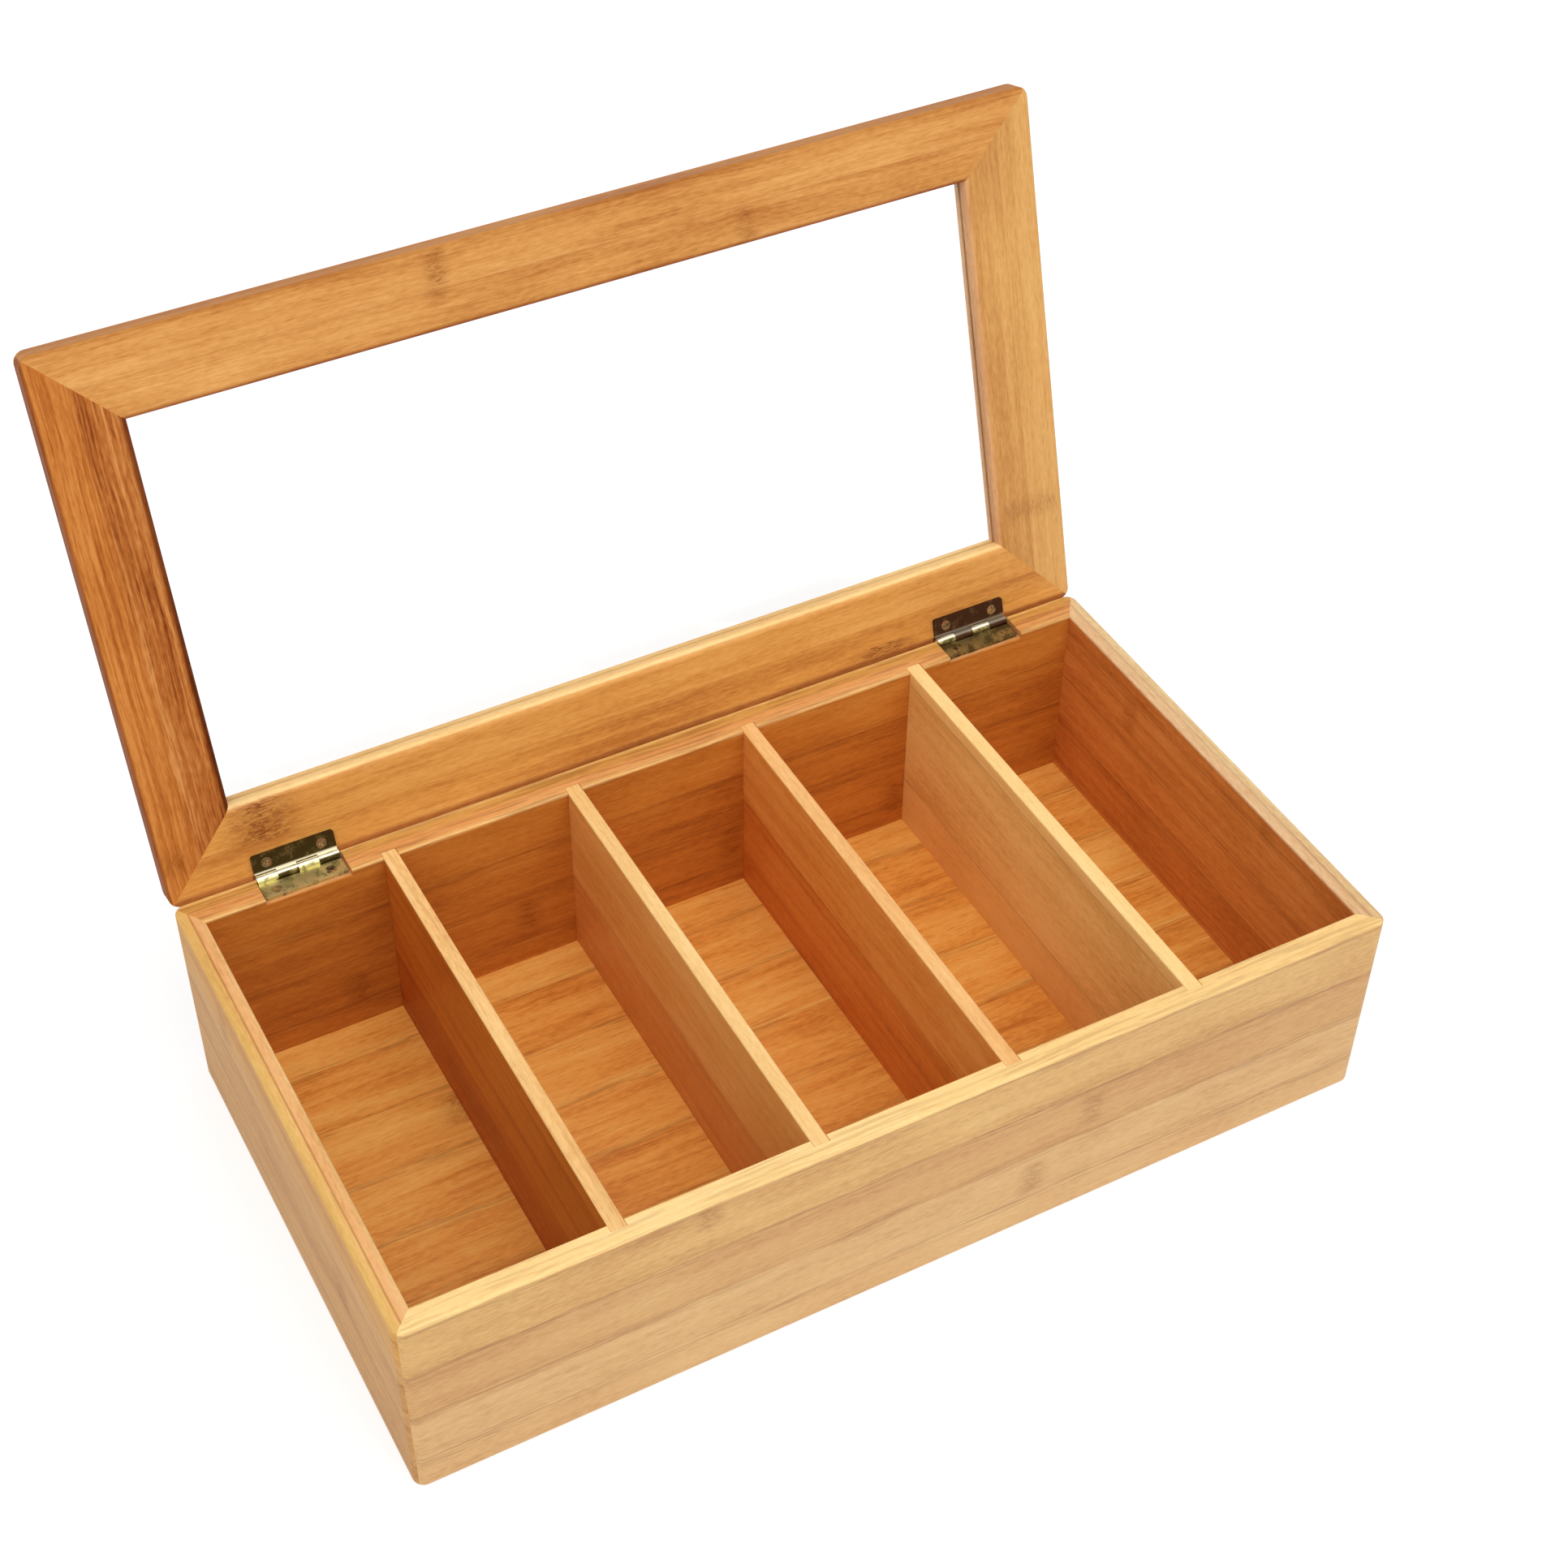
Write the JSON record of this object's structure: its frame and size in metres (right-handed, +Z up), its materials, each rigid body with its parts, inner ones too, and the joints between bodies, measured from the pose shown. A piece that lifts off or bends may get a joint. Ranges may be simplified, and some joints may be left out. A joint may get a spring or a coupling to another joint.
{
  "type": "tea box",
  "caption": "Flat bamboo tea box with compartments in a row and a framed clear lid on brass stop hinges, shown with the lid open.",
  "frame": {"origin": "centre of the underside, on the table", "axes": "+X along the box to the right, +Y to the rear where the hinges are, +Z up"},
  "size_m": [0.36, 0.2631, 0.2667],
  "materials": {
    "bamboo_front": "satin lacquer",
    "bamboo_wall": "satin lacquer",
    "bamboo_floor": "satin lacquer",
    "bamboo_divider": "satin lacquer",
    "bamboo_lid": "satin lacquer",
    "clear_pane": "clear polished",
    "hinge_brass": "aged",
    "pin_brass": "polished",
    "screw_brass": "satin"
  },
  "bodies": {
    "box": {"front_wall": "bamboo_front", "rear_wall": "bamboo_wall", "left_wall": "bamboo_wall", "right_wall": "bamboo_wall", "floor_panel": "bamboo_floor", "divider_1": "bamboo_divider", "divider_2": "bamboo_divider", "divider_3": "bamboo_divider", "divider_4": "bamboo_divider", "left_hinge_box_leaf": "hinge_brass", "left_hinge_pin": "pin_brass", "left_hinge_box_screws": "screw_brass", "right_hinge_box_leaf": "hinge_brass", "right_hinge_pin": "pin_brass", "right_hinge_box_screws": "screw_brass"},
    "lid": {"lid_front_rail": "bamboo_lid", "lid_rear_rail": "bamboo_lid", "lid_left_stile": "bamboo_lid", "lid_right_stile": "bamboo_lid", "lid_pane": "clear_pane", "left_hinge_lid_leaf": "hinge_brass", "left_hinge_lid_screws": "screw_brass", "right_hinge_lid_leaf": "hinge_brass", "right_hinge_lid_screws": "screw_brass"}
  },
  "joints": [
    {"name": "lid_hinge", "type": "hinge", "parent": "box", "child": "lid", "pos_m": [0, 0.0976, 0.0802], "axis": [1, 0, 0], "range_deg": [0, 107]}
  ]
}
